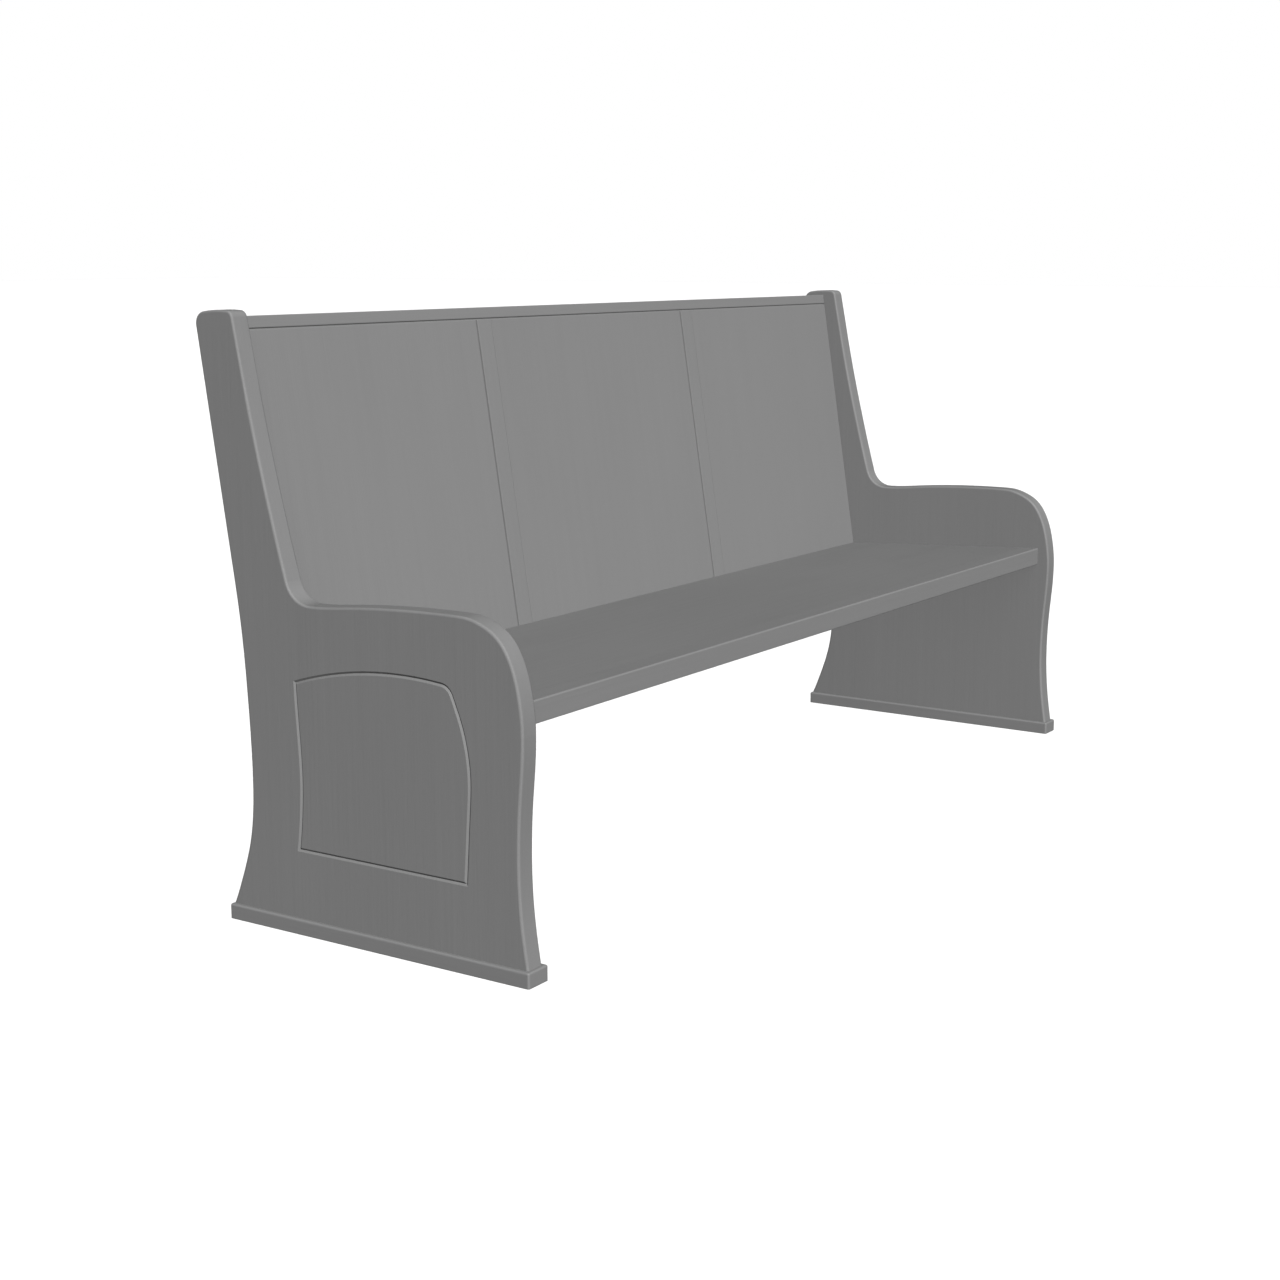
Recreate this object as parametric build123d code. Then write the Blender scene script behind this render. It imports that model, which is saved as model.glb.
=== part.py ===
from build123d import *
import os
from math import cos, radians, sin, tan

# Church pew. Millimetres. X runs along the pew, -Y is the front, +Z is up.
# The origin is on the floor, under the middle of the overall box. Left is -X.

# ---- Driving dimensions -------------------------------------------------------------------
OVERALL_LENGTH = 2123.0
SHOE_DEPTH = 640.0
SHOE_WIDTH = 52.0
SHOE_HEIGHT = 26.5
SHOE_FRONT_Y = -338.1
SHOE_EDGE_RADIUS = 3.5
END_THICKNESS = 37.5
END_EDGE_RADIUS = 4.0
GROOVE_WIDTH = 7.0
GROOVE_DEPTH = 2.45

SEAT_FRONT_Y = -298.6
SEAT_FRONT_Z = 443.8
SEAT_DEPTH = 489.0
SEAT_SLOPE = 2.8
SEAT_THICKNESS = 24.0
NOSING_THICKNESS = 38.7
NOSING_DEPTH = 46.0
TONGUE_THICKNESS = 8.0
TONGUE_LENGTH = 12.0

BACK_RECLINE = 9.05
BACK_TOP = 614.6
BACK_BOTTOM = -112.0
PANEL_THICKNESS = 18.0
PANEL_TONGUE = 8.0
SHADOW_GAP = 2.4
STILE_WIDTH = 45.0
STILE_SPACING = 725.4
STILE_SHIFT = 12.2
SIDE_TONGUE_THICKNESS = 5.0
SIDE_TONGUE_LENGTH = 8.0
OPEN_JOINT = 4.4
CLOSE_JOINT = 0.4
JOINT_DEPTH = 4.5
CAP_HEIGHT = 21.4
CAP_DEPTH = 44.0
FRAME_THICKNESS = 24.0
TOP_RAIL_HEIGHT = 60.0
BOTTOM_RAIL_HEIGHT = 70.0
BATTEN_WIDTH = 100.0
BACK_CLEAT_WIDTH = 35.0

LEDGER_THICKNESS = 30.0
LEDGER_HEIGHT = 45.0
SEAT_CLEAT_THICKNESS = 25.0
SEAT_CLEAT_HEIGHT = 35.0
SEAT_CLEAT_SPAN = (92.0, 448.0)
KNEE_THICKNESS = 28.0
KNEE_LENGTH = 300.0
KNEE_NOSE_HEIGHT = 22.0
KNEE_NOSE_LENGTH = 36.0
KNEE_HEEL_HEIGHT = 14.0
KNEE_HOLLOW = (80.0, 4.0)

SCREW_RADIUS = 2.5
SCREW_HEAD_RADIUS = 4.8
DOWEL_RADIUS = 4.0
END_DOWEL_RADIUS = 5.0
EASED_EDGE = 1.5
CAP_LOWER_EDGE = 2.0

# ---- Fasteners: lengths, and places along the member that each goes into ------------------
SHOE_SCREW_LENGTH = 60.0
SHOE_COUNTERBORE = 9.0
COUNTERBORE_RADIUS = 6.5
SEAT_CLEAT_SCREW_LENGTH = 45.0
SEAT_BOARD_SCREW_LENGTH = 48.0
BACK_CLEAT_SCREW_LENGTH = 60.0
LEDGER_SCREW_LENGTH = 62.0
PANEL_SCREW_LENGTH = 36.0
KNEE_BACK_SCREW_LENGTH = 72.0
KNEE_SEAT_SCREW_LENGTH = 38.0
CAP_DOWEL_LENGTH = 40.0
CAP_DOWEL_RISE = 12.0
END_DOWEL_LENGTH = 50.0
SHOE_SCREW_YS = (-275.0, -105.0, 70.0, 215.0)
SEAT_CLEAT_SCREW_DEPTHS = (125.0, 265.0, 405.0)
SEAT_BOARD_SCREW_DEPTHS = (195.0, 335.0)
BACK_CLEAT_SCREW_HEIGHTS = (40.0, 255.0, 470.0)
CLEAT_PANEL_SCREW_HEIGHTS = (148.0, 362.0)
BATTEN_SCREW_HEIGHTS = (25.0, 250.0, 475.0)
BATTEN_SCREW_OFFSETS = (-38.0, 0.0, 38.0)
RAIL_SCREW_XS = (-860.0, -530.0, -180.0, 180.0, 530.0, 860.0)
LEDGER_SCREW_XS = (-945.0, -620.0, -95.0, 95.0, 620.0, 945.0)
CAP_DOWEL_XS = (-940.0, -470.0, 0.0, 470.0, 940.0)

# ---- Sizes that follow from them ----------------------------------------------------------
SHOE_MIDDLE_X = (OVERALL_LENGTH - SHOE_WIDTH) / 2
INNER_X = SHOE_MIDDLE_X - END_THICKNESS / 2
OUTER_X = SHOE_MIDDLE_X + END_THICKNESS / 2
SEAT_BACK_ANGLE = radians(BACK_RECLINE - SEAT_SLOPE)
FRAME_BACK = PANEL_THICKNESS + FRAME_THICKNESS
FRAME_MIDDLE = PANEL_THICKNESS + FRAME_THICKNESS / 2
CAP_BOTTOM = BACK_TOP - CAP_HEIGHT
TOP_RAIL_BOTTOM = CAP_BOTTOM - TOP_RAIL_HEIGHT
BOTTOM_RAIL_TOP = BACK_BOTTOM + BOTTOM_RAIL_HEIGHT
LEDGER_BOTTOM = -SEAT_THICKNESS - LEDGER_HEIGHT
PANEL_TONGUE_FRONT = (PANEL_THICKNESS - PANEL_TONGUE) / 2
PANEL_TONGUE_REAR = (PANEL_THICKNESS + PANEL_TONGUE) / 2
PANEL_TOP = CAP_BOTTOM + PANEL_TONGUE
SIDE_TONGUE_FRONT = (PANEL_THICKNESS - SIDE_TONGUE_THICKNESS) / 2
SIDE_TONGUE_REAR = (PANEL_THICKNESS + SIDE_TONGUE_THICKNESS) / 2
SIDES = {"left": -1, "right": 1}
STILES = {name: side * STILE_SPACING / 2 + STILE_SHIFT for name, side in SIDES.items()}


# ---- Places on the sloping seat and the leaning back --------------------------------------
def seat_point(depth, height):
    """Y and Z of a point by its distance back along the seat and its height off the seat's top."""
    slope = radians(SEAT_SLOPE)
    y = SEAT_FRONT_Y + depth * cos(slope) + height * sin(slope)
    z = SEAT_FRONT_Z - depth * sin(slope) + height * cos(slope)
    return (y, z)


def back_point(behind, up):
    """Y and Z of a point by its distance behind the back's face and its height up the back."""
    lean = radians(BACK_RECLINE)
    y, z = seat_point(SEAT_DEPTH, 0)
    return (y + behind * cos(lean) + up * sin(lean), z - behind * sin(lean) + up * cos(lean))


def under_seat(behind):
    """The point on the seat board's underside that is this far behind the back's face."""
    up = behind * tan(SEAT_BACK_ANGLE) - SEAT_THICKNESS / cos(SEAT_BACK_ANGLE)
    return back_point(behind, up)


def placed(x, point, tilt, direction):
    """A location whose local Z is a direction given in axes that lean back by the tilt."""
    axes = Plane(origin=(x, *point)).rotated((-tilt, 0, 0))
    return axes * Location(Plane((0, 0, 0), z_dir=direction))


def on_seat(x, depth, height, direction):
    return placed(x, seat_point(depth, height), SEAT_SLOPE, direction)


def on_back(x, behind, up, direction):
    return placed(x, back_point(behind, up), BACK_RECLINE, direction)


# ---- Shapes used more than once -----------------------------------------------------------
def bar(points, x_low, x_high):
    """A bar along X whose section is a polygon of Y and Z."""
    section = make_face(Polyline(*points, close=True))
    return extrude(Plane.YZ.offset(x_low) * section, x_high - x_low)


def back_bar(behind_low, behind_high, up_low, up_high, x_low, x_high):
    """A bar along X with a rectangular section that leans with the back."""
    corners = ((behind_low, up_low), (behind_high, up_low), (behind_high, up_high), (behind_low, up_high))
    return bar([back_point(*corner) for corner in corners], x_low, x_high)


def long_edges_at(shape, point):
    """The edges along X that pass through a point of Y and Z."""
    def passes(edge):
        middle = edge @ 0.5
        return abs(middle.Y - point[0]) < 0.1 and abs(middle.Z - point[1]) < 0.1
    return [edge for edge in shape.edges().filter_by(Axis.X) if passes(edge)]


def screw_body(length):
    """A countersunk wood screw's outer shape, flush at local Z of 0 and driven along +Z."""
    head_height = SCREW_HEAD_RADIUS - SCREW_RADIUS
    half_section = Polyline(
        (0, 0),
        (SCREW_HEAD_RADIUS, 0),
        (SCREW_RADIUS, head_height),
        (SCREW_RADIUS, length - 2 * SCREW_RADIUS),
        (0, length),
        close=True,
    )
    return revolve(Plane.XZ * make_face(half_section), Axis.Z)


def screw(length):
    """The screw itself, with a crossed recess in its head."""
    slot_length = 1.2 * SCREW_HEAD_RADIUS
    slot_width = 1.1
    recess_depth = 1.4
    recess = Box(slot_length, slot_width, 2 * recess_depth) + Box(slot_width, slot_length, 2 * recess_depth)
    return screw_body(length) - recess


def dowel(radius, length):
    """A dowel centred on its location, along local Z, with chamfered ends."""
    body = Cylinder(radius, length)
    return chamfer(body.edges().filter_by(GeomType.CIRCLE), radius / 4)


def group(shape, places):
    """One shape repeated at each place, as separate solids."""
    return Compound(children=[place * shape for place in places])


def without(shape, tool, places):
    """The shape with the tool's outline removed at each place that it reaches."""
    box = shape.bounding_box()
    for place in places:
        cutter = place * tool
        reach = cutter.bounding_box()
        near = all(
            low <= high
            for low, high in zip((*reach.min, *box.min), (*box.max, *reach.max))
        )
        if near:
            shape = shape - cutter
    return shape


# ---- Where the fasteners are --------------------------------------------------------------
def base_shoe_screw_places():
    return [
        Location((side * SHOE_MIDDLE_X, y, SHOE_COUNTERBORE))
        for side in SIDES.values()
        for y in SHOE_SCREW_YS
    ]


def seat_cleat_screw_places():
    middle = -SEAT_THICKNESS - SEAT_CLEAT_HEIGHT / 2
    return [
        on_seat(side * (INNER_X - SEAT_CLEAT_THICKNESS), depth, middle, (side, 0, 0))
        for side in SIDES.values()
        for depth in SEAT_CLEAT_SCREW_DEPTHS
    ]


def seat_board_screw_places():
    bottom = -SEAT_THICKNESS - SEAT_CLEAT_HEIGHT
    return [
        on_seat(side * (INNER_X - SEAT_CLEAT_THICKNESS / 2), depth, bottom, (0, 0, 1))
        for side in SIDES.values()
        for depth in SEAT_BOARD_SCREW_DEPTHS
    ]


def back_cleat_screw_places():
    return [
        on_back(side * (INNER_X - BACK_CLEAT_WIDTH), FRAME_MIDDLE, up, (side, 0, 0))
        for side in SIDES.values()
        for up in BACK_CLEAT_SCREW_HEIGHTS
    ]


def ledger_screw_places():
    up = LEDGER_BOTTOM + LEDGER_HEIGHT / 2
    return [on_back(x, -LEDGER_THICKNESS, up, (0, 1, 0)) for x in LEDGER_SCREW_XS]


def panel_screw_places():
    inward = (0, -1, 0)
    rails = [
        on_back(x, FRAME_BACK, up, inward)
        for up in (TOP_RAIL_BOTTOM + TOP_RAIL_HEIGHT / 2, BACK_BOTTOM + BOTTOM_RAIL_HEIGHT / 2)
        for x in RAIL_SCREW_XS
    ]
    battens = [
        on_back(stile + offset, FRAME_BACK, up, inward)
        for stile in STILES.values()
        for offset in BATTEN_SCREW_OFFSETS
        for up in BATTEN_SCREW_HEIGHTS
    ]
    cleats = [
        on_back(side * (INNER_X - BACK_CLEAT_WIDTH / 2), FRAME_BACK, up, inward)
        for side in SIDES.values()
        for up in CLEAT_PANEL_SCREW_HEIGHTS
    ]
    return rails + battens + cleats


def knee_back_screw_places():
    up = (BACK_BOTTOM + LEDGER_BOTTOM) / 2
    return [on_back(stile, FRAME_BACK, up, (0, -1, 0)) for stile in STILES.values()]


def knee_nose_depth():
    """How far back on the seat the knees begin."""
    return SEAT_DEPTH - LEDGER_THICKNESS - KNEE_LENGTH


def knee_seat_screw_places():
    depth = knee_nose_depth() + KNEE_NOSE_LENGTH / 2
    bottom = -SEAT_THICKNESS - KNEE_NOSE_HEIGHT
    return [on_seat(stile, depth, bottom, (0, 0, 1)) for stile in STILES.values()]


def cap_dowel_places():
    middle = CAP_BOTTOM + CAP_DOWEL_RISE - CAP_DOWEL_LENGTH / 2
    return [on_back(x, FRAME_MIDDLE, middle, (0, 0, 1)) for x in CAP_DOWEL_XS]


def cap_end_dowel_places():
    up = CAP_BOTTOM + CAP_HEIGHT / 2
    return [on_back(side * INNER_X, FRAME_MIDDLE, up, (1, 0, 0)) for side in SIDES.values()]


def seat_end_dowel_places():
    depth = (NOSING_DEPTH - TONGUE_LENGTH) / 2
    return [on_seat(side * INNER_X, depth, -NOSING_THICKNESS / 2, (1, 0, 0)) for side in SIDES.values()]


# ---- Ends and shoes -----------------------------------------------------------------------
def end_outline():
    """The end's outline above the shoe, in Y and Z: the foot, front, arm, upright, top and rear."""
    foot_front = (-331.6, SHOE_HEIGHT)
    nose = (-325.8, 399.0)
    arm_front = (-176.0, 578.3)
    upright_foot = (153.8, 599.3)
    upright_top = (234.4, 926.0)
    top_front = (256.6, 1036.3)
    top_middle = (298.0, 1037.6)
    top_rear = (341.2, 1031.3)
    rear_knee = (272.1, 593.0)
    foot_rear = (298.6, SHOE_HEIGHT)
    level = (1, 0)
    upward = (0, 1)
    upright_lean = 15.9
    arm_corner_radius = 49.0
    top_front_radius = 13.0
    top_rear_radius = 20.0

    front = Spline(
        foot_front, (-320.9, 100.0), (-315.6, 197.0), (-319.4, 294.0), nose,
        tangents=[(0.17, 1), upward],
    )
    swell = Spline(
        nose, (-320.3, 458.0), (-301.2, 520.2), (-273.5, 555.2), (-236.0, 573.2), arm_front,
        tangents=[upward, level],
    )
    up_the_lean = (sin(radians(upright_lean)), cos(radians(upright_lean)))
    upper_front = Line(upright_top, top_front)
    upright = Spline(
        upright_foot, (189.7, 732.5), upright_top,
        tangents=[up_the_lean, upper_front % 0],
    )
    down_the_lean = (-up_the_lean[0], -up_the_lean[1])
    corner = JernArc(upright_foot, down_the_lean, arm_corner_radius, upright_lean - 90)
    arm = Spline(arm_front, (-77.0, 576.3), (29.3, 569.0), corner @ 1, tangents=[level, level])
    upper_rear = Line(rear_knee, top_rear)
    rear = Spline(
        foot_rear, (280.9, 69.5), (256.8, 144.4), (246.6, 252.0), (251.4, 391.0), rear_knee,
        tangents=[(-0.47, 1), upper_rear % 0],
    )
    top = ThreePointArc(top_front, top_middle, top_rear)
    foot = Line(foot_rear, foot_front)
    outline = make_face([front, swell, arm, corner, upright, upper_front, top, upper_rear, rear, foot])
    for corner_point, radius in ((top_front, top_front_radius), (top_rear, top_rear_radius)):
        outline = fillet(outline.vertices().sort_by_distance((*corner_point, 0))[0], radius)
    return outline


def field_outline():
    """The routed line's middle, in Y and Z: square corners, but the upper front one is round."""
    bottom_rear = (142.8, 146.8)
    bottom_front = (-211.3, 147.5)
    front_break = (-220.7, 291.0)
    front_shoulder = (-201.7, 416.3)
    top_front = (-182.3, 463.6)
    top_middle = (-20.0, 466.5)
    top_rear = (141.4, 432.8)
    top_front_radius = 26.0

    lower_front = Line(bottom_front, front_break)
    outline = make_face([
        Line(bottom_rear, bottom_front),
        lower_front,
        TangentArc(front_break, front_shoulder, tangent=lower_front % 1),
        Line(front_shoulder, top_front),
        ThreePointArc(top_front, top_middle, top_rear),
        Spline(top_rear, (137.3, 358.0), (133.0, 262.0), (137.0, 194.0), bottom_rear),
    ])
    return fillet(outline.vertices().sort_by_distance((*top_front, 0))[0], top_front_radius)


def field_groove(side):
    """The V-shaped cutter that follows the field line on an end's outer face."""
    face_plane = Plane.YZ.offset(side * OUTER_X)
    path = (face_plane * field_outline()).wire()
    start = path @ 0
    proud = 1.0
    half_width = GROOVE_WIDTH / 2 * (1 + proud / GROOVE_DEPTH)
    section_plane = Plane(origin=start, z_dir=path % 0, x_dir=(side, 0, 0))
    section = Polyline((-GROOVE_DEPTH, 0), (proud, half_width), (proud, -half_width), close=True)
    return sweep(section_plane * make_face(section), path=path, transition=Transition.RIGHT)


def end_panel(side):
    low_x = side * SHOE_MIDDLE_X - END_THICKNESS / 2
    panel = extrude(Plane.YZ.offset(low_x) * end_outline(), END_THICKNESS)
    rims = [
        edge
        for face in (panel.faces().sort_by(Axis.X)[0], panel.faces().sort_by(Axis.X)[-1])
        for edge in face.edges()
        if (edge @ 0.5).Z > SHOE_HEIGHT + 0.01
    ]
    panel = fillet(rims, END_EDGE_RADIUS)
    panel = panel - field_groove(side)
    panel = without(panel, screw_body(SHOE_SCREW_LENGTH), base_shoe_screw_places())
    panel = without(panel, screw_body(SEAT_CLEAT_SCREW_LENGTH), seat_cleat_screw_places())
    panel = without(panel, screw_body(BACK_CLEAT_SCREW_LENGTH), back_cleat_screw_places())
    end_dowel = dowel(END_DOWEL_RADIUS, END_DOWEL_LENGTH)
    return without(panel, end_dowel, cap_end_dowel_places() + seat_end_dowel_places())


def base_shoe(side):
    middle_y = SHOE_FRONT_Y + SHOE_DEPTH / 2
    shoe = Pos(side * SHOE_MIDDLE_X, middle_y, SHOE_HEIGHT / 2) * Box(SHOE_WIDTH, SHOE_DEPTH, SHOE_HEIGHT)
    soft_edges = shoe.edges().filter_by(Axis.Z) + shoe.edges().group_by(Axis.Z)[-1]
    shoe = fillet(soft_edges, SHOE_EDGE_RADIUS)
    counterbore = Pos(0, 0, -SHOE_COUNTERBORE / 2) * Cylinder(COUNTERBORE_RADIUS, SHOE_COUNTERBORE)
    cutter = screw_body(SHOE_SCREW_LENGTH) + counterbore
    return without(shoe, cutter, base_shoe_screw_places())


# ---- Seat ---------------------------------------------------------------------------------
def tongue_section(outer, upper):
    """The seat board's front edge as depths and heights: a tongue between two shoulders."""
    middle = -SEAT_THICKNESS / 2
    tip = outer - TONGUE_LENGTH
    return [
        (outer, upper),
        (outer, middle + TONGUE_THICKNESS / 2),
        (tip, middle + TONGUE_THICKNESS / 2),
        (tip, middle - TONGUE_THICKNESS / 2),
        (outer, middle - TONGUE_THICKNESS / 2),
    ]


def seat_board():
    front = [seat_point(*corner) for corner in tongue_section(NOSING_DEPTH, 0.0)]
    front_bottom = seat_point(NOSING_DEPTH, -SEAT_THICKNESS)
    board = bar([*front, front_bottom, under_seat(0), back_point(0, 0)], -INNER_X, INNER_X)
    board = without(board, screw_body(SEAT_BOARD_SCREW_LENGTH), seat_board_screw_places())
    return without(board, screw_body(KNEE_SEAT_SCREW_LENGTH), knee_seat_screw_places())


def seat_nosing():
    rear = [seat_point(*corner) for corner in tongue_section(NOSING_DEPTH, 0.0)]
    front_top = seat_point(0, 0)
    front_bottom = (front_top[0], front_top[1] - NOSING_THICKNESS / cos(radians(SEAT_SLOPE)))
    rear_bottom = seat_point(NOSING_DEPTH, -NOSING_THICKNESS)
    nosing = bar([front_bottom, front_top, *rear, rear_bottom], -INNER_X, INNER_X)
    nosing = fillet(long_edges_at(nosing, front_top), 2 * EASED_EDGE)
    nosing = fillet(long_edges_at(nosing, front_bottom) + long_edges_at(nosing, rear_bottom), EASED_EDGE)
    return without(nosing, dowel(END_DOWEL_RADIUS, END_DOWEL_LENGTH), seat_end_dowel_places())


def seat_cleat(side):
    start, stop = SEAT_CLEAT_SPAN
    bottom = -SEAT_THICKNESS - SEAT_CLEAT_HEIGHT
    corners = [(start, -SEAT_THICKNESS), (stop, -SEAT_THICKNESS), (stop, bottom), (start, bottom)]
    near, far = sorted((side * INNER_X, side * (INNER_X - SEAT_CLEAT_THICKNESS)))
    cleat = bar([seat_point(*corner) for corner in corners], near, far)
    cleat = chamfer(cleat.faces().sort_by(Axis.Z)[0].edges(), EASED_EDGE)
    cleat = without(cleat, screw_body(SEAT_CLEAT_SCREW_LENGTH), seat_cleat_screw_places())
    return without(cleat, screw_body(SEAT_BOARD_SCREW_LENGTH), seat_board_screw_places())


def seat_rear_ledger():
    lower_front = back_point(-LEDGER_THICKNESS, LEDGER_BOTTOM)
    lower_rear = back_point(0, LEDGER_BOTTOM)
    end_x = INNER_X - SEAT_CLEAT_THICKNESS
    ledger = bar([under_seat(0), under_seat(-LEDGER_THICKNESS), lower_front, lower_rear], -end_x, end_x)
    ledger = fillet(long_edges_at(ledger, lower_front), EASED_EDGE)
    return without(ledger, screw_body(LEDGER_SCREW_LENGTH), ledger_screw_places())


def seat_knee(middle_x):
    """A bracket that hooks under the ledger, with a hollow curve from its nose to the back."""
    nose = knee_nose_depth()
    nose_bottom = -SEAT_THICKNESS - KNEE_NOSE_HEIGHT
    top_front = seat_point(nose, -SEAT_THICKNESS)
    front = seat_point(nose, nose_bottom)
    curve_start = seat_point(nose + KNEE_NOSE_LENGTH, nose_bottom)
    curve_end = back_point(-LEDGER_THICKNESS + KNEE_HEEL_HEIGHT, BACK_BOTTOM)
    hollow_forward, hollow_down = KNEE_HOLLOW
    curve_middle = back_point(-LEDGER_THICKNESS - hollow_forward, LEDGER_BOTTOM - hollow_down)
    straight = Polyline(
        curve_end,
        back_point(0, BACK_BOTTOM),
        back_point(0, LEDGER_BOTTOM),
        back_point(-LEDGER_THICKNESS, LEDGER_BOTTOM),
        under_seat(-LEDGER_THICKNESS),
        top_front,
        front,
        curve_start,
    )
    section = make_face([straight, ThreePointArc(curve_start, curve_middle, curve_end)])
    section = fillet(section.vertices().sort_by_distance((*front, 0))[0], KNEE_NOSE_HEIGHT / 2)
    knee = extrude(Plane.YZ.offset(middle_x - KNEE_THICKNESS / 2) * section, KNEE_THICKNESS)
    knee = without(knee, screw_body(KNEE_BACK_SCREW_LENGTH), knee_back_screw_places())
    return without(knee, screw_body(KNEE_SEAT_SCREW_LENGTH), knee_seat_screw_places())


# ---- Back ---------------------------------------------------------------------------------
def joint_places():
    """The X and the width of each upright joint in the back, from left to right."""
    half = STILE_WIDTH / 2
    return [
        (stile + offset, width)
        for stile in STILES.values()
        for offset, width in ((-half, OPEN_JOINT), (half, CLOSE_JOINT))
    ]


def panelling(x_low, x_high):
    """A length of the back's face, with a tongue along its top and its share of each joint."""
    section = [
        (0, BACK_BOTTOM),
        (PANEL_THICKNESS, BACK_BOTTOM),
        (PANEL_THICKNESS, CAP_BOTTOM),
        (PANEL_TONGUE_REAR, CAP_BOTTOM),
        (PANEL_TONGUE_REAR, PANEL_TOP),
        (PANEL_TONGUE_FRONT, PANEL_TOP),
        (PANEL_TONGUE_FRONT, CAP_BOTTOM - SHADOW_GAP),
        (0, CAP_BOTTOM - SHADOW_GAP),
    ]
    board = bar([back_point(*corner) for corner in section], x_low, x_high)
    for x, width in joint_places():
        if x in (x_low, x_high):
            left, right = x - width / 2, x + width / 2
            board = board - back_bar(-1, JOINT_DEPTH, BACK_BOTTOM - 1, PANEL_TOP, left, right)
    return board


def with_panel_holes(board):
    """The board with the holes of every screw that reaches it through the back."""
    board = without(board, screw_body(LEDGER_SCREW_LENGTH), ledger_screw_places())
    board = without(board, screw_body(PANEL_SCREW_LENGTH), panel_screw_places())
    return without(board, screw_body(KNEE_BACK_SCREW_LENGTH), knee_back_screw_places())


def side_tongues(middle_x):
    """The bar that makes the tongues on both sides of a stile, through its whole width."""
    reach = STILE_WIDTH / 2 + SIDE_TONGUE_LENGTH
    return back_bar(
        SIDE_TONGUE_FRONT, SIDE_TONGUE_REAR, BACK_BOTTOM, PANEL_TOP, middle_x - reach, middle_x + reach
    )


def back_panel(x_low, x_high):
    """A wide panel, grooved for the tongues of the stiles beside it."""
    panel = panelling(x_low, x_high)
    for stile in STILES.values():
        if abs(x_low - stile) < STILE_WIDTH or abs(x_high - stile) < STILE_WIDTH:
            panel = panel - side_tongues(stile)
    return with_panel_holes(panel)


def back_stile(middle_x):
    """A narrow upright, flush with the panels, with an open joint on its left side."""
    stile = panelling(middle_x - STILE_WIDTH / 2, middle_x + STILE_WIDTH / 2)
    return with_panel_holes(stile + side_tongues(middle_x))


def back_cap_rail():
    section = [
        (0, CAP_BOTTOM),
        (PANEL_TONGUE_FRONT, CAP_BOTTOM),
        (PANEL_TONGUE_FRONT, PANEL_TOP),
        (PANEL_TONGUE_REAR, PANEL_TOP),
        (PANEL_TONGUE_REAR, CAP_BOTTOM),
        (CAP_DEPTH, CAP_BOTTOM),
        (CAP_DEPTH, BACK_TOP),
        (0, BACK_TOP),
    ]
    cap = bar([back_point(*corner) for corner in section], -INNER_X, INNER_X)
    cap = fillet(long_edges_at(cap, back_point(0, CAP_BOTTOM)), CAP_LOWER_EDGE)
    cap = fillet(long_edges_at(cap, back_point(0, BACK_TOP)), EASED_EDGE)
    rear_edges = long_edges_at(cap, back_point(CAP_DEPTH, CAP_BOTTOM))
    rear_edges += long_edges_at(cap, back_point(CAP_DEPTH, BACK_TOP))
    cap = fillet(rear_edges, 2 * EASED_EDGE)
    cap = without(cap, dowel(DOWEL_RADIUS, CAP_DOWEL_LENGTH), cap_dowel_places())
    return without(cap, dowel(END_DOWEL_RADIUS, END_DOWEL_LENGTH), cap_end_dowel_places())


def frame_member(up_low, up_high, x_low, x_high):
    """A member of the frame behind the panels, before its holes."""
    return back_bar(PANEL_THICKNESS, FRAME_BACK, up_low, up_high, x_low, x_high)


def back_top_rail():
    rail = frame_member(TOP_RAIL_BOTTOM, CAP_BOTTOM, -INNER_X, INNER_X)
    rail = fillet(long_edges_at(rail, back_point(FRAME_BACK, TOP_RAIL_BOTTOM)), EASED_EDGE)
    rail = without(rail, screw_body(PANEL_SCREW_LENGTH), panel_screw_places())
    return without(rail, dowel(DOWEL_RADIUS, CAP_DOWEL_LENGTH), cap_dowel_places())


def back_bottom_rail():
    rail = frame_member(BACK_BOTTOM, BOTTOM_RAIL_TOP, -INNER_X, INNER_X)
    outer_edges = long_edges_at(rail, back_point(FRAME_BACK, BOTTOM_RAIL_TOP))
    outer_edges += long_edges_at(rail, back_point(FRAME_BACK, BACK_BOTTOM))
    rail = fillet(outer_edges, EASED_EDGE)
    rail = without(rail, screw_body(PANEL_SCREW_LENGTH), panel_screw_places())
    rail = without(rail, screw_body(LEDGER_SCREW_LENGTH), ledger_screw_places())
    return without(rail, screw_body(KNEE_BACK_SCREW_LENGTH), knee_back_screw_places())


def upright(x_low, x_high, eased):
    """An upright between the two rails, with the rear corners eased where it says so."""
    member = frame_member(BOTTOM_RAIL_TOP, TOP_RAIL_BOTTOM, x_low, x_high)
    rear_face = member.faces().sort_by(Axis.Y)[-1]
    sides = [edge for edge in rear_face.edges() if round((edge @ 0.5).X, 3) in eased]
    member = fillet(sides, EASED_EDGE)
    return without(member, screw_body(PANEL_SCREW_LENGTH), panel_screw_places())


def stile_batten(middle_x):
    low = middle_x - BATTEN_WIDTH / 2
    high = middle_x + BATTEN_WIDTH / 2
    return upright(low, high, (round(low, 3), round(high, 3)))


def back_cleat(side):
    inner = side * (INNER_X - BACK_CLEAT_WIDTH)
    low, high = sorted((inner, side * INNER_X))
    cleat = upright(low, high, (round(inner, 3),))
    return without(cleat, screw_body(BACK_CLEAT_SCREW_LENGTH), back_cleat_screw_places())


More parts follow.
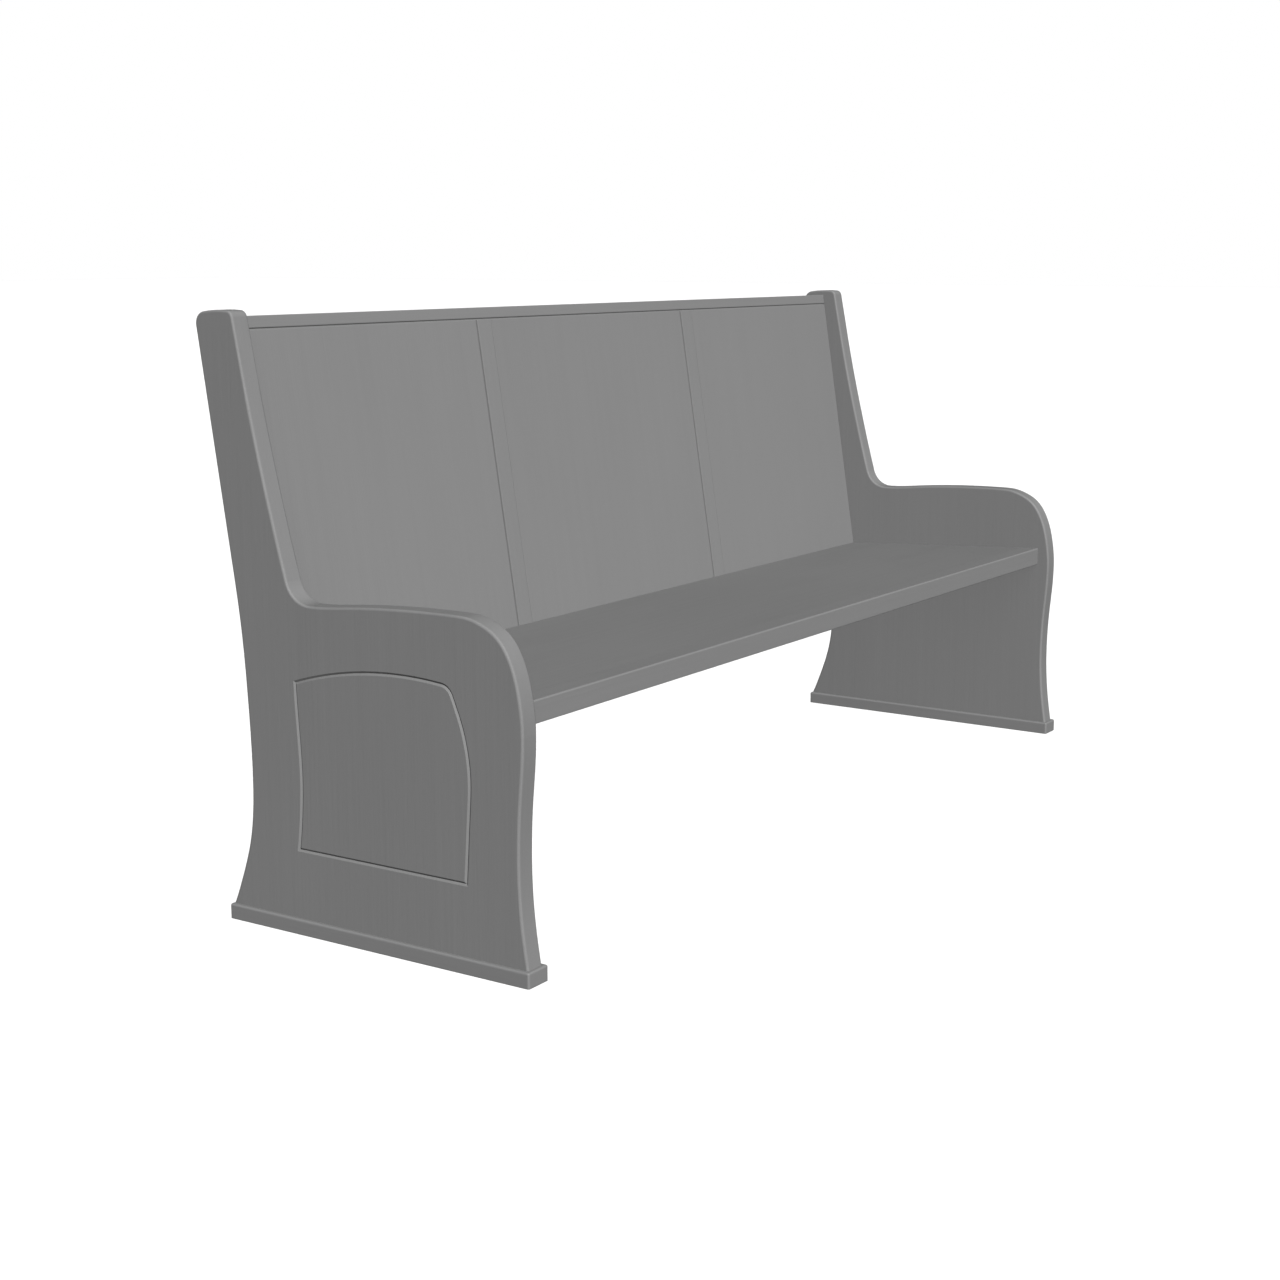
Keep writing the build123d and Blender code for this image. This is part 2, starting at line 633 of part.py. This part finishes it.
# ---- Every piece, by its node's name ------------------------------------------------------
def build():
    half = STILE_WIDTH / 2
    panel_edges = {
        "back_panel_left": (-INNER_X, STILES["left"] - half),
        "back_panel_middle": (STILES["left"] + half, STILES["right"] - half),
        "back_panel_right": (STILES["right"] + half, INNER_X),
    }
    nodes = {
        "seat_board": seat_board(),
        "seat_nosing": seat_nosing(),
        "seat_rear_ledger": seat_rear_ledger(),
        "back_cap_rail": back_cap_rail(),
        "back_top_rail": back_top_rail(),
        "back_bottom_rail": back_bottom_rail(),
        "base_shoe_screws": group(screw(SHOE_SCREW_LENGTH), base_shoe_screw_places()),
        "seat_cleat_screws": group(screw(SEAT_CLEAT_SCREW_LENGTH), seat_cleat_screw_places()),
        "seat_board_screws": group(screw(SEAT_BOARD_SCREW_LENGTH), seat_board_screw_places()),
        "back_cleat_screws": group(screw(BACK_CLEAT_SCREW_LENGTH), back_cleat_screw_places()),
        "ledger_screws": group(screw(LEDGER_SCREW_LENGTH), ledger_screw_places()),
        "panel_screws": group(screw(PANEL_SCREW_LENGTH), panel_screw_places()),
        "knee_back_screws": group(screw(KNEE_BACK_SCREW_LENGTH), knee_back_screw_places()),
        "knee_seat_screws": group(screw(KNEE_SEAT_SCREW_LENGTH), knee_seat_screw_places()),
        "cap_rail_dowels": group(dowel(DOWEL_RADIUS, CAP_DOWEL_LENGTH), cap_dowel_places()),
        "cap_end_dowels": group(dowel(END_DOWEL_RADIUS, END_DOWEL_LENGTH), cap_end_dowel_places()),
        "seat_end_dowels": group(dowel(END_DOWEL_RADIUS, END_DOWEL_LENGTH), seat_end_dowel_places()),
    }
    for name, (x_low, x_high) in panel_edges.items():
        nodes[name] = back_panel(x_low, x_high)
    for name, side in SIDES.items():
        nodes[name + "_end_panel"] = end_panel(side)
        nodes[name + "_base_shoe"] = base_shoe(side)
        nodes[name + "_seat_cleat"] = seat_cleat(side)
        nodes[name + "_seat_knee"] = seat_knee(STILES[name])
        nodes[name + "_back_stile"] = back_stile(STILES[name])
        nodes[name + "_stile_batten"] = stile_batten(STILES[name])
        nodes[name + "_back_cleat"] = back_cleat(side)
    return nodes


os.makedirs("parts", exist_ok=True)
for node, shape in build().items():
    export_step(shape, "parts/" + node + ".step")
    print(node, round(shape.volume))
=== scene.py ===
from math import pi, radians

import bpy
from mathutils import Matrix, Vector


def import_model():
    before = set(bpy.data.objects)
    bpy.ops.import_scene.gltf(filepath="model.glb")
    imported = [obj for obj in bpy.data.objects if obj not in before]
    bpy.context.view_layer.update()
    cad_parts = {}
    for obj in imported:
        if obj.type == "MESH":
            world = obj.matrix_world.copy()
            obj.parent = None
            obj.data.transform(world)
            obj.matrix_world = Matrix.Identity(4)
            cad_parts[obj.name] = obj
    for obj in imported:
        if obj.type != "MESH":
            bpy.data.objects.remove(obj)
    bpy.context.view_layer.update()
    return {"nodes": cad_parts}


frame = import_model()
NODES = frame["nodes"]

# Metres. X runs along the pew, -Y is the front, +Z is up, and the floor is at Z of 0.

# ---- Camera ---------------------------------------------------------------------------------
CAMERA_PLACE = (-3.5064, -2.1604, 1.1315)
CAMERA_TURN = 0.9871
CAMERA_DIP = 0.1870
LENS_MM = 57.75
SENSOR_MM = 36.0

# ---- Light ----------------------------------------------------------------------------------
KEY_FROM = (-0.49, -0.65, 0.587)
KEY_POWER = 6.27
KEY_SOFT_SHARE = 0.18
KEY_ANGLE = radians(12)
SOFT_ANGLE = radians(60)
REAR_FROM = (0.38, 0.92, 0.07)
REAR_POWER = 3.4
BELOW_FROM = (0.10, 0.10, -1.0)
BELOW_POWER = 0.8
WORLD_WHITE = 1.0
FLOOR_WHITE = 0.92
FLOOR_HALF_SIZE = 60.0

# ---- Grain ----------------------------------------------------------------------------------
BACK_LEAN = radians(9.05)
SEAT_LEAN = radians(-2.8)
GRAIN_STEP = 1.37
GRAIN_SHIFT = (1.0, 1.7, 2.3)

# ---- Noise: how wide and how long its features are in metres, then its other settings ---------
PORES = {"across": 0.0016, "along": 0.060, "detail": 3.0, "distortion": 0.2}
RIDGES = {"across": 0.0065, "along": 0.260, "detail": 1.0, "distortion": 0.6}
BRUSH_MARKS = {"across": 0.0007, "along": 0.120, "detail": 1.0}
SKIN = {"across": 0.0020, "along": 0.0020, "detail": 1.0}
# Patches along the edges that are painted lighter, partly as wear and partly as a painted highlight.
WORN_AND_HIGHLIT_PATCHES = {"across": 0.035, "along": 0.090, "detail": 3.0, "roughness": 0.6}
CLOUDS = {"across": 0.30, "along": 0.55, "detail": 3.0}
STREAKS = {"across": 0.014, "along": 0.50, "detail": 3.0}
BEECH_FLECKS = {"across": 0.0006, "along": 0.0040, "detail": 2.0}
BEECH_RINGS = {"across": 0.0020, "along": 0.050, "detail": 2.0}
ZINC_SPANGLE = {"across": 0.0012, "along": 0.0016, "detail": 2.0}
ZINC_SCRATCHES = {"across": 0.0002, "along": 0.0030, "detail": 2.0}

# ---- Paint ----------------------------------------------------------------------------------
PAINT_GREY = 0.178
PAINT_ROUGHNESS = 0.46
PAINT_SPECULAR = 0.28
CLOUD_TONE = 0.030
STREAK_TONE = 0.028
CLOUD_ROUGHNESS = 0.05
STREAK_ROUGHNESS = 0.05
EDGE_ROUGHNESS = -0.10
PORE_DEPTH = 0.00006
SEAT_PORE_DEPTH = 0.00005
RIDGE_DEPTH = 0.00008
BRUSH_DEPTH = 0.00002
SKIN_DEPTH = 0.000008

# ---- Thinner, duller paint on the frame behind and below -------------------------------------
THIN_PAINT = {"pore_depth": 0.00007, "tone": 0.93, "matt": 0.10}

# ---- Edges ----------------------------------------------------------------------------------
EDGE_WIDTH = 0.0022
SEAT_EDGE_WIDTH = 0.0014
EDGE_SAMPLES = 6
EDGE_TURN = (0.999, 0.90)
# The edge is painted lighter in the colour: partly worn paint, partly a painted highlight on the roundings
# and arrises.
WORN_AND_HIGHLIT_RANGE = (-0.25, 0.55)
WORN_AND_HIGHLIT_EDGE_GAIN = 0.06

# ---- Beech dowels ---------------------------------------------------------------------------
BEECH_DARK = (0.46, 0.29, 0.16, 1.0)
BEECH_PALE = (0.66, 0.47, 0.29, 1.0)
BEECH_FLECK_TONE = 0.10
BEECH_RING_TONE = 0.12
BEECH_RING_DEPTH = 0.00004
BEECH_FLECK_DEPTH = 0.00002
BEECH_ROUGHNESS = 0.62
BEECH_FLECK_ROUGHNESS = 0.06

# ---- Zinc-plated screws ---------------------------------------------------------------------
ZINC_TONE = 0.62
ZINC_SPANGLE_TONE = 0.08
ZINC_METALLIC = 0.5
ZINC_ROUGHNESS = 0.36
ZINC_SPANGLE_ROUGHNESS = 0.06
ZINC_SCRATCH_ROUGHNESS = 0.08
ZINC_SPANGLE_DEPTH = 0.000008
ZINC_SCRATCH_DEPTH = 0.000006

# ---- The part of each end's face that holds the routed line: front and rear, bottom and top --
FIELD_Y = (-0.26, 0.18)
FIELD_Z = (0.12, 0.50)


# ---- Node trees -----------------------------------------------------------------------------
class Finish:
    """A material's nodes, with its coordinates along and across the grain."""

    def __init__(self, name, grain, lean=0.0):
        self.material = bpy.data.materials.new(name)
        self.material.use_nodes = True
        self.tree = self.material.node_tree
        self.tree.nodes.clear()
        self.grain = grain
        self.lean = lean
        place = self.add("TexCoord").outputs["Object"]
        offset = self.add("Attribute", attribute_type="OBJECT", attribute_name="grain_offset")
        self.place = place
        self.shifted = self.vector("MULTIPLY_ADD", offset.outputs["Fac"], GRAIN_SHIFT, place)

    def add(self, kind, inputs=None, **settings):
        node = self.tree.nodes.new("ShaderNode" + kind)
        for key, value in settings.items():
            setattr(node, key, value)
        for socket, value in (inputs or {}).items():
            self.feed(node.inputs[socket], value)
        return node

    def feed(self, socket, value):
        if isinstance(value, bpy.types.NodeSocket):
            self.tree.links.new(value, socket)
        else:
            socket.default_value = value

    def math(self, operation, *values, clamp=False):
        inputs = dict(enumerate(values))
        return self.add("Math", inputs, operation=operation, use_clamp=clamp).outputs[0]

    def vector(self, operation, *values):
        inputs = dict(enumerate(values))
        return self.add("VectorMath", inputs, operation=operation).outputs[0]

    def ramp(self, value, low, high):
        """0 at the low value and 1 at the high one, with smooth ends."""
        inputs = {"Value": value, "From Min": low, "From Max": high}
        return self.add("MapRange", inputs, interpolation_type="SMOOTHSTEP").outputs[0]

    def noise(self, across, along, detail, roughness=0.5, distortion=0.0):
        """Noise from -1 to 1 whose features are this wide and this long, in metres."""
        sizes = {"X": (along, across, across), "Y": (across, along, across), "Z": (across, across, along)}
        mapping = self.add("Mapping", {"Vector": self.shifted}, vector_type="TEXTURE")
        mapping.inputs["Rotation"].default_value = (-self.lean, 0.0, 0.0)
        mapping.inputs["Scale"].default_value = sizes[self.grain]
        inputs = {
            "Vector": mapping.outputs[0], "Scale": 1.0, "Detail": detail,
            "Roughness": roughness, "Distortion": distortion,
        }
        value = self.add("TexNoise", inputs).outputs["Fac"]
        return self.math("MULTIPLY_ADD", value, 2.0, -1.0)

    def scaled_sum(self, *terms):
        """The sum of each value times its weight."""
        total = 0.0
        for value, weight in terms:
            total = self.math("MULTIPLY_ADD", value, weight, total)
        return total

    def surface(self, colour, roughness, height, under=None, **constants):
        """The finished material, with its relief in metres on top of the normal under it."""
        relief = {"Strength": 1.0, "Distance": 1.0, "Height": height}
        if under is not None:
            relief["Normal"] = under
        inputs = {"Base Color": colour, "Roughness": roughness, "Normal": self.add("Bump", relief).outputs[0]}
        shader = self.add("BsdfPrincipled", inputs)
        for socket, value in constants.items():
            shader.inputs[socket.replace("_", " ")].default_value = value
        output = self.add("OutputMaterial")
        self.tree.links.new(shader.outputs[0], output.inputs["Surface"])
        return self.material


# ---- Parts of a finish ----------------------------------------------------------------------
def timber_height(finish, pore_depth):
    """Height in metres: the grain that shows through paint, brush marks along it, and a fine skin."""
    pores = finish.noise(**PORES)
    ridges = finish.noise(**RIDGES)
    brush = finish.noise(**BRUSH_MARKS)
    skin = finish.noise(**SKIN)
    return finish.scaled_sum(
        (pores, pore_depth), (ridges, RIDGE_DEPTH), (brush, BRUSH_DEPTH), (skin, SKIN_DEPTH),
    )


def inside(finish, value, span):
    """1 where a value is between two limits, else 0."""
    over = finish.math("GREATER_THAN", value, span[0])
    return finish.math("MULTIPLY", over, finish.math("LESS_THAN", value, span[1]))


def rounded_edge(finish):
    """1 on the rounding between a face across X and the edge beside it, but 0 in the routed line."""
    normal = finish.add("NewGeometry").outputs["Normal"]
    facing = finish.vector("DOT_PRODUCT", normal, (1.0, 0.0, 0.0)).node.outputs["Value"]
    square = finish.math("MULTIPLY", facing, facing)
    rest = finish.math("SUBTRACT", 1.0, square)
    # The product is at most a quarter, halfway round.
    rounding = finish.math("MULTIPLY", finish.math("MULTIPLY", square, rest), 4.0, clamp=True)
    place = finish.add("SeparateXYZ", {"Vector": finish.place}).outputs
    field = finish.math("MULTIPLY", inside(finish, place["Y"], FIELD_Y), inside(finish, place["Z"], FIELD_Z))
    return finish.math("MULTIPLY", rounding, finish.math("SUBTRACT", 1.0, field))


def sharp_edge(finish, eased):
    """1 along an arris and 0 away from it, from how far the eased normal leaves the true one."""
    normal = finish.add("NewGeometry").outputs["Normal"]
    along = finish.vector("DOT_PRODUCT", normal, eased).node.outputs["Value"]
    return finish.ramp(along, *EDGE_TURN)


def worn_and_highlit_edge(finish, edge):
    """How bare an edge is, and where a painted highlight lightens it: patches along it, not the whole length.
    """
    patches = finish.noise(**WORN_AND_HIGHLIT_PATCHES)
    return finish.math("MULTIPLY", edge, finish.ramp(patches, *WORN_AND_HIGHLIT_RANGE))


def painted_timber(name, grain, lean=0.0, rounded=False, edge_width=EDGE_WIDTH,
                   pore_depth=PORE_DEPTH, tone=1.0, matt=0.0):
    """Grey satin paint brushed over timber."""
    finish = Finish(name, grain, lean)
    if rounded:
        normal = finish.add("NewGeometry").outputs["Normal"]
        edge = rounded_edge(finish)
    else:
        normal = finish.add("Bevel", {"Radius": edge_width}, samples=EDGE_SAMPLES).outputs[0]
        edge = sharp_edge(finish, normal)
    wear_and_highlight = worn_and_highlit_edge(finish, edge)
    clouds = finish.noise(**CLOUDS)
    streaks = finish.noise(**STREAKS)
    # The edge term lightens the grey: partly wear, partly a painted highlight along the edges.
    shade = finish.scaled_sum((clouds, CLOUD_TONE), (streaks, STREAK_TONE), (wear_and_highlight, WORN_AND_HIGHLIT_EDGE_GAIN))
    colour = finish.math("MULTIPLY_ADD", shade, PAINT_GREY * tone, PAINT_GREY * tone)
    uneven = finish.scaled_sum(
        (clouds, CLOUD_ROUGHNESS), (streaks, STREAK_ROUGHNESS), (edge, EDGE_ROUGHNESS),
    )
    roughness = finish.math("ADD", uneven, PAINT_ROUGHNESS + matt)
    height = timber_height(finish, pore_depth)
    return finish.surface(colour, roughness, height, under=normal, Specular_IOR_Level=PAINT_SPECULAR)


def bare_beech():
    """Pale dowel wood with short dark flecks."""
    finish = Finish("beech_dowel", "X")
    flecks = finish.noise(**BEECH_FLECKS)
    rings = finish.noise(**BEECH_RINGS)
    shade = finish.scaled_sum((flecks, BEECH_FLECK_TONE), (rings, BEECH_RING_TONE))
    share = finish.math("ADD", shade, 0.5, clamp=True)
    mix = finish.add("MixRGB", {"Fac": share, "Color1": BEECH_DARK, "Color2": BEECH_PALE})
    height = finish.scaled_sum((rings, BEECH_RING_DEPTH), (flecks, BEECH_FLECK_DEPTH))
    roughness = finish.math("MULTIPLY_ADD", flecks, BEECH_FLECK_ROUGHNESS, BEECH_ROUGHNESS)
    return finish.surface(mix.outputs[0], roughness, height)


def zinc_steel():
    """Plated screw steel, brushed and a little mottled."""
    finish = Finish("zinc_screw", "Z")
    spangle = finish.noise(**ZINC_SPANGLE)
    scratches = finish.noise(**ZINC_SCRATCHES)
    colour = finish.math("MULTIPLY_ADD", spangle, ZINC_SPANGLE_TONE, ZINC_TONE)
    uneven = finish.scaled_sum((spangle, ZINC_SPANGLE_ROUGHNESS), (scratches, ZINC_SCRATCH_ROUGHNESS))
    roughness = finish.math("ADD", uneven, ZINC_ROUGHNESS)
    height = finish.scaled_sum((scratches, ZINC_SCRATCH_DEPTH), (spangle, ZINC_SPANGLE_DEPTH))
    return finish.surface(colour, roughness, height, Metallic=ZINC_METALLIC)


# ---- Which finish each node has -------------------------------------------------------------
def finishes():
    end = painted_timber("end_satin_paint", "Z", rounded=True)
    shoe = painted_timber("shoe_satin_paint", "Y")
    seat = painted_timber(
        "seat_satin_paint", "X", SEAT_LEAN, edge_width=SEAT_EDGE_WIDTH, pore_depth=SEAT_PORE_DEPTH,
    )
    panel = painted_timber("panel_satin_paint", "Z", BACK_LEAN)
    cap = painted_timber("cap_satin_paint", "X", BACK_LEAN)
    rail = painted_timber("rail_thin_paint", "X", BACK_LEAN, **THIN_PAINT)
    post = painted_timber("post_thin_paint", "Z", BACK_LEAN, **THIN_PAINT)
    cleat = painted_timber("cleat_thin_paint", "Y", SEAT_LEAN, **THIN_PAINT)
    return {
        "end_panel": end,
        "base_shoe": shoe,
        "seat_board": seat,
        "seat_nosing": seat,
        "back_panel": panel,
        "back_stile": panel,
        "back_cap_rail": cap,
        "ledger": rail,
        "top_rail": rail,
        "bottom_rail": rail,
        "batten": post,
        "back_cleat": post,
        "seat_cleat": cleat,
        "seat_knee": cleat,
        "dowels": bare_beech(),
        "screws": zinc_steel(),
    }


def finish_of(name, table):
    """The finish whose key is the longest one found in the node's name, screws and dowels first."""
    for kind in ("screws", "dowels"):
        if name.endswith(kind):
            return table[kind]
    return table[max((key for key in table if key in name), key=len)]


def dress_nodes():
    table = finishes()
    for index, name in enumerate(sorted(NODES)):
        piece = NODES[name]
        piece["grain_offset"] = GRAIN_STEP * index
        piece.visible_diffuse = False
        piece.visible_glossy = False
        material = finish_of(name, table)
        for material_slot in piece.material_slots:
            material_slot.material = material


# ---- Stage ----------------------------------------------------------------------------------
def floor():
    corners = [
        (x * FLOOR_HALF_SIZE, y * FLOOR_HALF_SIZE, 0.0) for x, y in ((-1, -1), (1, -1), (1, 1), (-1, 1))
    ]
    mesh = bpy.data.meshes.new("stage_floor")
    mesh.from_pydata(corners, [], [(0, 1, 2, 3)])
    stage = bpy.data.objects.new("stage_floor", mesh)
    bpy.context.scene.collection.objects.link(stage)
    finish = Finish("stage_white", "X")
    paper = finish.add("BsdfDiffuse", {"Color": (FLOOR_WHITE, FLOOR_WHITE, FLOOR_WHITE, 1.0)})
    clear = finish.add("BsdfTransparent")
    under = finish.add("NewGeometry").outputs["Backfacing"]
    mix = finish.add("MixShader", {0: under, 1: paper.outputs[0], 2: clear.outputs[0]})
    output = finish.add("OutputMaterial")
    finish.tree.links.new(mix.outputs[0], output.inputs["Surface"])
    mesh.materials.append(finish.material)
    stage.visible_diffuse = False
    stage.visible_glossy = False


def world():
    sky = bpy.data.worlds.new("studio")
    sky.use_nodes = True
    background = sky.node_tree.nodes["Background"]
    background.inputs["Color"].default_value = (WORLD_WHITE, WORLD_WHITE, WORLD_WHITE, 1.0)
    sky.cycles_visibility.diffuse = False
    sky.cycles_visibility.glossy = False
    bpy.context.scene.world = sky


def lamp(name, came_from, power, angle, shadow, glossy=True):
    light = bpy.data.lights.new(name, "SUN")
    light.energy = power
    light.angle = angle
    light.use_shadow = shadow
    lamp_object = bpy.data.objects.new(name, light)
    lamp_object.rotation_euler = Vector(came_from).to_track_quat("Z", "Y").to_euler()
    lamp_object.visible_glossy = glossy
    bpy.context.scene.collection.objects.link(lamp_object)


def lights():
    lamp("key_fill", KEY_FROM, KEY_POWER * (1 - KEY_SOFT_SHARE), KEY_ANGLE, False, glossy=False)
    lamp("key_soft", KEY_FROM, KEY_POWER * KEY_SOFT_SHARE, SOFT_ANGLE, True)
    lamp("rear_fill", REAR_FROM, REAR_POWER, KEY_ANGLE, False, glossy=False)
    lamp("below_fill", BELOW_FROM, BELOW_POWER, KEY_ANGLE, False, glossy=False)


def camera():
    data = bpy.data.cameras.new("camera")
    data.lens = LENS_MM
    data.sensor_width = SENSOR_MM
    viewer = bpy.data.objects.new("camera", data)
    viewer.location = CAMERA_PLACE
    viewer.rotation_euler = (pi / 2 - CAMERA_DIP, 0.0, -CAMERA_TURN)
    bpy.context.scene.collection.objects.link(viewer)
    bpy.context.scene.camera = viewer


def colour_management():
    settings = bpy.context.scene.view_settings
    settings.view_transform = "Standard"
    settings.look = "None"


camera()
dress_nodes()
floor()
world()
lights()
colour_management()
